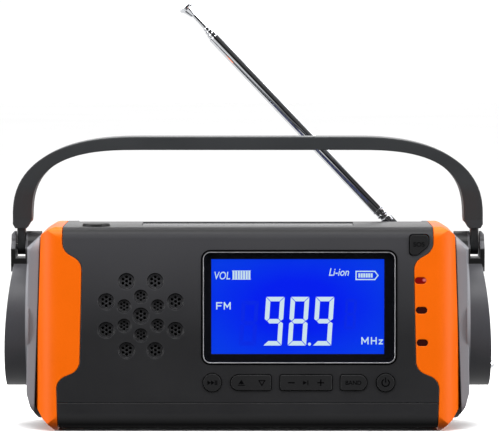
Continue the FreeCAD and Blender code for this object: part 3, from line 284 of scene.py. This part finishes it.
# ---------------------------------------------------------------- materials of the record's slots
def lined_cells(name):
    """Dark blue solar cells with fine silver fingers and two busbars."""
    finger_pitch, bar_pitch, cell_pitch = 0.9 * MM, 5.9 * MM, 9.45 * MM
    look = moulded(name, (14, 24, 74), 0.32, tint=0.25, edge=0.0)
    x, y, _ = look.axes()
    x_shifted = look.maths("ADD", x, 1.0)
    y_shifted = look.maths("ADD", y, 1.0 + bar_pitch)
    finger = look.maths("LESS_THAN", look.maths("PINGPONG", x_shifted, finger_pitch), 0.035 * MM)
    bar = look.maths("LESS_THAN", look.maths("PINGPONG", y_shifted, bar_pitch), 0.45 * MM)
    gap = look.maths("LESS_THAN", look.maths("PINGPONG", x_shifted, cell_pitch), 0.25 * MM)
    silver = look.blend(look.maths("MAXIMUM", finger, bar), look.paint(), linear(168, 172, 182))
    return look.set(Base_Color=look.blend(gap, silver, linear(14, 16, 26)))


def lens_rings(look):
    """Height of the flashlight lens: concentric rings about its middle."""
    rings_per_metre = 400.0
    _, y, z = look.axes()
    up = look.maths("SUBTRACT", z, middle("flashlight_lens").z)
    square = look.maths("ADD", look.maths("MULTIPLY", y, y), look.maths("MULTIPLY", up, up))
    return look.maths("PINGPONG", look.maths("MULTIPLY", look.maths("SQRT", square), rings_per_metre), 0.5)


def woven(name, colour, pitch):
    """Fine cloth that keeps dust out of the speaker."""
    look = moulded(name, colour, 0.8, edge=0.0)
    x, _, z = look.axes()
    warp = look.maths("SINE", look.maths("MULTIPLY", x, math.tau / pitch))
    weft = look.maths("SINE", look.maths("MULTIPLY", z, math.tau / pitch))
    return look.set(Normal=look.bump(look.maths("MULTIPLY", warp, weft), 0.05 * MM))


def build_looks():
    panel, lamp = middle("lcd_panel"), middle("indicator_lens_lit")
    # The paler colours given below for the edges of moulded parts are painted highlight colours.
    looks = {
        "shell_black": front_fade(moulded("shell_black", (27, 27, 29), 0.45, edge=0.3, edge_highlight=(84, 84, 86))),
        "panel_orange": moulded("panel_orange", (236, 101, 5), 0.42, depth=0.008 * MM, tint=0.025, edge=0.3,
                                edge_highlight=(255, 132, 40), shine=0.14, round_by=0.5 * MM),
        "cap_grey": cap_zones(moulded("cap_grey", (62, 62, 66), 0.45, edge=0.3, edge_highlight=(138, 138, 142),
                                      shine=0.3, round_by=0.5 * MM)),
        "handle_black": moulded("handle_black", (42, 44, 46), 0.5, edge=0.3, edge_highlight=(104, 106, 108),
                                round_by=0.8 * MM),
        "key_rubber": moulded("key_rubber", (31, 31, 32), 0.62, grain=0.2 * MM, edge=0.45,
                              edge_highlight=(112, 112, 114), shine=0.1),
        "light_key": moulded("light_key", (14, 14, 15), 0.5, grain=0.2 * MM, edge=0.3, edge_highlight=(60, 60, 62)),
        "flap_rubber": moulded("flap_rubber", (34, 34, 35), 0.65, grain=0.2 * MM, edge=0.3,
                               edge_highlight=(84, 84, 86)),
        "screen_frame": bright_inside(metal("screen_frame", (206, 206, 210), 0.42, depth=0.0005 * MM)),
        "screen_window": clear("screen_window", (236, 238, 242), 0.03, mirror=0.25),
        "screen_bezel": moulded("screen_bezel", (10, 10, 15), 0.5, edge=0.1, shine=0.2),
        "screen_blue": glowing("screen_blue", (0, 34, 255), 1.0, (4, 66, 248),
                               (panel.x, 0, panel.z - 0.05 * MM), (34 * MM, 1, 19 * MM)),
        "backlight_white": glowing("backlight_white", (226, 232, 240), 0.3),
        # The lamp glows red as a lit lamp; the pale pink spot just right of its middle is a painted
        # highlight.
        "lamp_red": glowing("lamp_red", (255, 130, 130), 0.5, (150, 4, 3),
                            (lamp.x + 1.4 * MM, lamp.y - 1.475 * MM, lamp.z + 0.2 * MM),
                            (0.75 * MM, 4 * MM, 0.6 * MM), rough=0.25),
        "lamp_dark": moulded("lamp_dark", (48, 14, 12), 0.2, edge=0.1),
        "screw_steel": metal("screw_steel", (120, 122, 126), 0.35),
        "chrome": metal("chrome", (236, 238, 242), 0.05, depth=0.0004 * MM),
        "brass_nut": metal("brass_nut", (190, 150, 80), 0.3),
        "switch_black": woven("switch_black", (16, 16, 17), 0.35 * MM),
        "speaker_steel": metal("speaker_steel", (150, 152, 156), 0.4),
        "speaker_paper": moulded("speaker_paper", (28, 27, 26), 0.85, grain=0.6 * MM, depth=0.05 * MM,
                                 edge=0.0),
        "board_green": moulded("board_green", (18, 70, 40), 0.4, tint=0.15, edge=0.2),
        "chip_black": moulded("chip_black", (24, 24, 26), 0.5),
        "ferrite": moulded("ferrite", (50, 46, 44), 0.6, grain=0.5 * MM),
        "cell_wrap": moulded("cell_wrap", (46, 92, 150), 0.35, edge=0.1),
        "solar_blue": lined_cells("solar_blue"),
        "solar_glass": clear("solar_glass", (238, 240, 246), 0.08, haze=0.01, mirror=0.62),
        "socket_metal": metal("socket_metal", (170, 172, 176), 0.28),
        "jack_black": moulded("jack_black", (22, 22, 23), 0.45),
        "lens_clear": clear("lens_clear", (246, 248, 250), 0.06, rings=lens_rings),
        "reflector": metal("reflector", (222, 224, 228), 0.1, grain=3 * MM),
        "led_board": moulded("led_board", (226, 214, 150), 0.4, edge=0.1),
        "gear_white": moulded("gear_white", (214, 212, 204), 0.45, edge=0.1),
        "pinion_brass": metal("pinion_brass", (196, 160, 92), 0.28),
        "crank_plastic": moulded("crank_plastic", (52, 52, 55), 0.45, edge=0.32, edge_highlight=(132, 132, 136)),
        "generator_steel": metal("generator_steel", (140, 142, 146), 0.35),
    }
    return {name: look.material for name, look in looks.items()}


LOOKS = build_looks()
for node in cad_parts.values():
    for index, material in enumerate(node.data.materials):
        node.data.materials[index] = LOOKS[material.name.split(".")[0]]


# ---------------------------------------------------------------- flat symbols
def plate(name, outlines, front, thick, body, material):
    """Flat shapes that face -Y: outlines are lists of (x, z) in metres, front is their y."""
    mesh = bpy.data.meshes.new(name)
    shape = bmesh.new()
    for outline in outlines:
        shape.faces.new([shape.verts.new((x, front, z)) for x, z in outline])
    bmesh.ops.recalc_face_normals(shape, faces=shape.faces)
    for face in shape.faces:
        if face.normal.y > 0:
            face.normal_flip()
    sides = bmesh.ops.extrude_face_region(shape, geom=list(shape.faces))
    moved = [item for item in sides["geom"] if isinstance(item, bmesh.types.BMVert)]
    bmesh.ops.translate(shape, verts=moved, vec=(0, thick, 0))
    bmesh.ops.recalc_face_normals(shape, faces=shape.faces)
    shape.to_mesh(mesh)
    shape.free()
    finish_piece(name, mesh, body, material)


def finish_piece(name, mesh, body, material):
    """A piece with one material that rides on a body."""
    piece = bpy.data.objects.new(name, mesh)
    bpy.context.scene.collection.objects.link(piece)
    mesh.materials.clear()
    mesh.materials.append(material)
    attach(piece, body)


def lettering(name, text, left, right, low, high, front, thick, body, material, slant=0.0,
              bold=0.01):
    """A generic word fitted to a box on a face that looks towards -Y."""
    curve = bpy.data.curves.new(name + "_text", "FONT")
    curve.body = text
    curve.size = 1.0
    curve.shear = slant
    curve.offset = bold
    curve.extrude = 0.5
    curve.resolution_u = 4
    carrier = bpy.data.objects.new(name + "_text", curve)
    bpy.context.scene.collection.objects.link(carrier)
    mesh = bpy.data.meshes.new_from_object(carrier)
    bpy.data.objects.remove(carrier)
    lowest = [min(v.co[axis] for v in mesh.vertices) for axis in range(3)]
    highest = [max(v.co[axis] for v in mesh.vertices) for axis in range(3)]
    for vertex in mesh.vertices:
        share = [(vertex.co[axis] - lowest[axis]) / (highest[axis] - lowest[axis])
                 for axis in range(3)]
        vertex.co = (left + share[0] * (right - left), front + (1 - share[2]) * thick,
                     low + share[1] * (high - low))
    mesh.name = name
    finish_piece(name, mesh, body, material)


def segments(w, h, t):
    """Outlines of the bars of one figure, w wide and h high, with mitred bars t thick."""
    g = 0.16
    half, point = h / 2, t / 2
    return {
        "top": [(g, h), (w - g, h), (w - t - g, h - t), (t + g, h - t)],
        "bottom": [(g, 0), (t + g, t), (w - t - g, t), (w - g, 0)],
        "middle": [(point + g, half), (t + g, half + point), (w - t - g, half + point),
                   (w - point - g, half), (w - t - g, half - point), (t + g, half - point)],
        "upper_left": [(0, h - g), (t, h - t - g), (t, half + point + g), (point, half + g),
                       (0, half + point)],
        "lower_left": [(0, g), (0, half - point), (point, half - g), (t, half - point - g), (t, t + g)],
        "upper_right": [(w, h - g), (w, half + point), (w - point, half + g),
                        (w - t, half + point + g), (w - t, h - t - g)],
        "lower_right": [(w, g), (w - t, t + g), (w - t, half - point - g), (w - point, half - g),
                        (w, half - point)],
    }


FIGURES = {"9": {"top", "bottom", "middle", "upper_left", "upper_right", "lower_right"},
           "8": {"top", "bottom", "middle", "upper_left", "lower_left", "upper_right", "lower_right"}}


def arc(radius, x, z, degrees):
    """Points of a circle about (x, z), at the given angles."""
    return [(x + radius * math.cos(math.radians(a)), z + radius * math.sin(math.radians(a)))
            for a in degrees]


def placed(outlines, x, z):
    """Outlines in millimetres as outlines in metres, moved by (x, z)."""
    return [[(x + across * MM, z + up * MM) for across, up in outline] for outline in outlines]


def stroke(points, wide, closed=False):
    """Thin quads along a line of points, one for each straight run."""
    runs = list(zip(points, points[1:] + points[:1])) if closed else list(zip(points, points[1:]))
    quads = []
    for (x0, z0), (x1, z1) in runs:
        long = math.hypot(x1 - x0, z1 - z0)
        nx, nz = -(z1 - z0) / long * wide / 2, (x1 - x0) / long * wide / 2
        ex, ez = (x1 - x0) / long * wide / 2, (z1 - z0) / long * wide / 2
        quads.append([(x0 - ex + nx, z0 - ez + nz), (x1 + ex + nx, z1 + ez + nz),
                      (x1 + ex - nx, z1 + ez - nz), (x0 - ex - nx, z0 - ez - nz)])
    return quads


LETTERS = {"F": [[(0, 0), (0, 1), (1, 1)], [(0, 0.5), (0.8, 0.5)]],
           "M": [[(0, 0), (0, 1), (0.5, 0.3), (1, 1), (1, 0)]],
           "H": [[(0, 0), (0, 1)], [(1, 0), (1, 1)], [(0, 0.5), (1, 0.5)]],
           "z": [[(0, 1), (1, 1), (0, 0), (1, 0)]]}


def strokes_of(letter, left, low, wide, tall):
    """Outlines of a plain letter drawn with thin bars, in a box whose corner is at (left, low)."""
    thick = 0.44
    half = thick / 2
    found = []
    for line in LETTERS[letter]:
        found += stroke([(left + half + x * (wide - thick), low + half + z * (tall - thick))
                         for x, z in line], thick)
    return found


# ---------------------------------------------------------------- display
def build_display():
    """Figures, bars and words of the lit display, printed just in front of its panel.

    Their places are in millimetres, from the lower left corner of the panel.
    """
    corner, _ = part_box("lcd_panel")
    panel = middle("lcd_panel")
    front = corner.y - 0.06 * MM
    thick = 0.05 * MM
    brightest = (panel.x - 0.8 * MM, 0, panel.z - 0.65 * MM)
    reach = (40 * MM, 1, 26 * MM)
    lit = glowing("symbol_lit", (232, 252, 255), 1.0, (206, 240, 252), brightest, reach).material
    ghost = glowing("symbol_ghost", (8, 44, 246), 1.0, (10, 60, 240), brightest, reach).material

    def show(name, outlines, behind=0.0, deep=thick, material=lit):
        plate(name, placed(outlines, corner.x, corner.z), front + behind, deep, "housing",
              material)

    tall, wide, bar, base = 17.4, 6.6, 1.6, 4.5
    lean = math.tan(math.radians(3.8))

    def figure(mark, left, size=1.0, low=base):
        return [[(left + x + z * lean, low + z) for x, z in outline]
                for name, outline in segments(wide * size, tall * size, bar * size).items()
                if name in FIGURES[mark]]

    point = arc(0.55, 36.5, base + 0.5, [22.5 * k for k in range(16)])
    show("display_figures", figure("9", 19.9) + figure("8", 28.7) + figure("9", 37.6) + [point])
    show("display_unlit_figures", figure("8", 11.3, 0.92) + figure("8", 48.7, 0.62, 10.3), 0.03 * MM,
         0.025 * MM, ghost)

    def row(left, pitch, count, wide, low, high):
        return [[(x, low), (x + wide, low), (x + wide, high), (x, high)]
                for x in [left + pitch * k for k in range(count)]]

    volume = row(9.05, 0.94, 7, 0.72, 28.15, 31.2)
    volume += stroke([(8.9, 31.2), (15.5, 31.2)], 0.16) + stroke([(8.9, 28.15), (15.5, 28.15)], 0.16)
    case = [(53.1, 28.1), (53.1, 31.0), (59.8, 31.0), (60.9, 29.55), (59.8, 28.1)]
    charge = stroke(case, 0.42, closed=True) + row(53.9, 0.88, 6, 0.7, 28.8, 30.3)
    show("display_level_bars", volume + charge)

    band_word = strokes_of("F", 3.2, 17.4, 2.2, 2.6) + strokes_of("M", 5.9, 17.4, 2.5, 2.6)
    unit_word = (strokes_of("M", 55.0, 4.9, 2.6, 2.6) + strokes_of("H", 58.4, 4.9, 2.1, 2.6)
                 + strokes_of("z", 61.2, 4.9, 1.5, 1.8))
    show("display_word_band", band_word + unit_word)
    words = (("VOL", 2.6, 8.2, 28.1, 30.9, 0.15), ("Li-ion", 43.4, 50.6, 29.4, 32.1, 0.25))
    for count, (text, left, right, low, high, slant) in enumerate(words):
        lettering("display_word_%d" % (count + 1), text, corner.x + left * MM, corner.x + right * MM,
                  corner.z + low * MM, corner.z + high * MM, front, thick, "housing", lit,
                  slant, 0.008)


# ---------------------------------------------------------------- key symbols
def build_key_symbols():
    """Dark symbols printed on the keys, in millimetres from the middle of each key."""
    ink = moulded("key_ink", (3, 3, 4), 0.6, edge=0.0, shine=0.02).material
    thick = 0.04 * MM

    def front(key):
        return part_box("button_" + key)[0].y - 0.03 * MM

    def symbol(key, outlines):
        spot = middle("button_" + key)
        plate("symbol_" + key, placed(outlines, spot.x, spot.z), front(key), thick, "key_" + key,
              ink)

    def word(key, text, left, right, low, high):
        spot = middle("button_" + key)
        lettering("symbol_" + key, text, spot.x + left * MM, spot.x + right * MM, spot.z + low * MM,
                  spot.z + high * MM, front(key), thick, "key_" + key, ink)

    symbol("play", [[(-1.7, -0.8), (-1.7, 0.8), (-0.5, 0)], [(-0.4, -0.8), (-0.4, 0.8), (0.8, 0)]]
           + stroke([(1.1, -0.7), (1.1, 0.7)], 0.3) + stroke([(1.65, -0.7), (1.65, 0.7)], 0.3))
    symbol("power", stroke(arc(1.3, 0, 0, range(125, 416, 15)), 0.34) + stroke([(0, 0.2), (0, 1.7)], 0.34))
    up, down = -3.4, 3.9
    symbol("tuning", [[(up - 0.95, -0.45), (up + 0.95, -0.45), (up, 1.05)]]
           + stroke([(up - 1.1, -0.9), (up + 1.1, -0.9)], 0.25)
           + stroke([(down - 1.05, 0.75), (down + 1.05, 0.75), (down, -0.95)], 0.3, closed=True))
    symbol("volume", stroke([(-6.3, 0), (-4.3, 0)], 0.4) + [[(-1.1, -0.7), (-1.1, 0.7), (0.2, 0)]]
           + stroke([(0.6, -0.65), (0.6, 0.65)], 0.3) + stroke([(4.2, 0), (6.2, 0)], 0.4)
           + stroke([(5.2, -1.0), (5.2, 1.0)], 0.4))
    word("band", "BAND", -2.9, 2.7, -0.75, 0.75)
    word("sos", "SOS", -2.1, 1.9, -0.3, 1.3)


build_display()
build_key_symbols()


# ---------------------------------------------------------------- floor, light and camera
def build_floor():
    """A wide sheet of pale paper under the radio."""
    look = Look("floor_paper")
    marks = look.noise(0.4, 3.0)
    fibre = look.noise(1.5 * MM, 2.0)
    shade = look.ramp(marks, 0.3, 0.7, 0.90, 0.93)
    look.set(Base_Color=look.grey(shade), Roughness=look.ramp(fibre, 0.3, 0.7, 0.75, 0.85),
             Normal=look.bump(fibre, 0.02 * MM))
    mesh = bpy.data.meshes.new("floor")
    shape = bmesh.new()
    bmesh.ops.create_circle(shape, cap_ends=True, segments=64, radius=6.0)
    shape.to_mesh(mesh)
    shape.free()
    floor = bpy.data.objects.new("floor", mesh)
    mesh.materials.append(look.material)
    bpy.context.scene.collection.objects.link(floor)
    floor.visible_diffuse = False
    floor.visible_glossy = False


def aimed(thing, place, aim):
    """Put a light or camera at a place, looking at its aim."""
    thing.location = place
    thing.rotation_mode = "QUATERNION"
    thing.rotation_quaternion = (Vector(aim) - Vector(place)).to_track_quat("-Z", "Y")
    bpy.context.scene.collection.objects.link(thing)


def area_light(name, place, aim, wide, high, power):
    data = bpy.data.lights.new(name, "AREA")
    data.shape = "RECTANGLE"
    data.size = wide
    data.size_y = high
    data.energy = power
    aimed(bpy.data.objects.new(name, data), place, aim)


def build_world():
    """A white studio: bright above and at the sides, and dim in front.

    Glossy surfaces also mirror a pale table and a pale wall behind, and the camera sees plain white.
    """
    world = bpy.data.worlds.new("studio")
    world.use_nodes = True
    bpy.context.scene.world = world
    tree = world.node_tree
    background = tree.nodes["Background"]

    def add(kind, **settings):
        node = tree.nodes.new(kind)
        for name, value in settings.items():
            setattr(node, name, value)
        return node

    def ramp(value, low, high, to_low, to_high):
        node = add("ShaderNodeMapRange", interpolation_type="SMOOTHSTEP")
        for name, number in zip(("From Min", "From Max", "To Min", "To Max"), (low, high, to_low, to_high)):
            node.inputs[name].default_value = number
        tree.links.new(value, node.inputs["Value"])
        return node.outputs[0]

    def maths(operation, first, second):
        node = add("ShaderNodeMath", operation=operation)
        tree.links.new(first, node.inputs[0])
        tree.links.new(second, node.inputs[1])
        return node.outputs[0]

    split = add("ShaderNodeSeparateXYZ")
    tree.links.new(add("ShaderNodeTexCoord").outputs["Generated"], split.inputs[0])
    _, y, z = split.outputs
    path = add("ShaderNodeLightPath")
    glossy = path.outputs["Is Glossy Ray"]
    sky = ramp(z, -0.15, 0.45, 0.04, 1.3)
    dimming = add("ShaderNodeMix")
    tree.links.new(glossy, dimming.inputs[0])
    tree.links.new(ramp(y, -0.95, -0.2, 0.12, 1.0), dimming.inputs[2])
    tree.links.new(ramp(y, -0.55, 0.0, 0.06, 1.0), dimming.inputs[3])
    table = ramp(z, -0.45, -0.15, 0.8, 0.0)
    behind = ramp(y, 0.3, 0.8, 0.0, 0.6)
    mirrored = maths("MULTIPLY", maths("MAXIMUM", table, behind), glossy)
    studio = maths("ADD", maths("MULTIPLY", sky, dimming.outputs[0]), mirrored)
    strength = add("ShaderNodeMix")
    tree.links.new(path.outputs["Is Camera Ray"], strength.inputs[0])
    tree.links.new(studio, strength.inputs[2])
    strength.inputs[3].default_value = 1.05
    tree.links.new(strength.outputs[0], background.inputs["Strength"])
    background.inputs["Color"].default_value = (1, 1, 1, 1)


def build_camera():
    data = bpy.data.cameras.new("camera")
    data.lens = 299
    data.sensor_width = 36
    camera = bpy.data.objects.new("camera", data)
    off_middle = 0.6 * MM
    aimed(camera, (off_middle, -1.5, 0.146), (off_middle, 0, 0.0747))
    bpy.context.scene.camera = camera


build_floor()
build_world()
area_light("top_softbox", (0, 0.12, 0.34), (0, 0.0, 0.06), 0.60, 0.18, 2.0)
area_light("front_softbox", (0, -0.6, 1.15), (0, 0, 0.04), 1.0, 0.5, 14.0)
for name, side in (("side_strip_left", -1), ("side_strip_right", 1)):
    area_light(name, (side * 0.75, -0.32, 0.16), (side * 0.06, 0, 0.05), 0.30, 0.6, 6.0)
build_camera()
bpy.context.scene.view_settings.view_transform = "Standard"

bpy.context.view_layer.update()
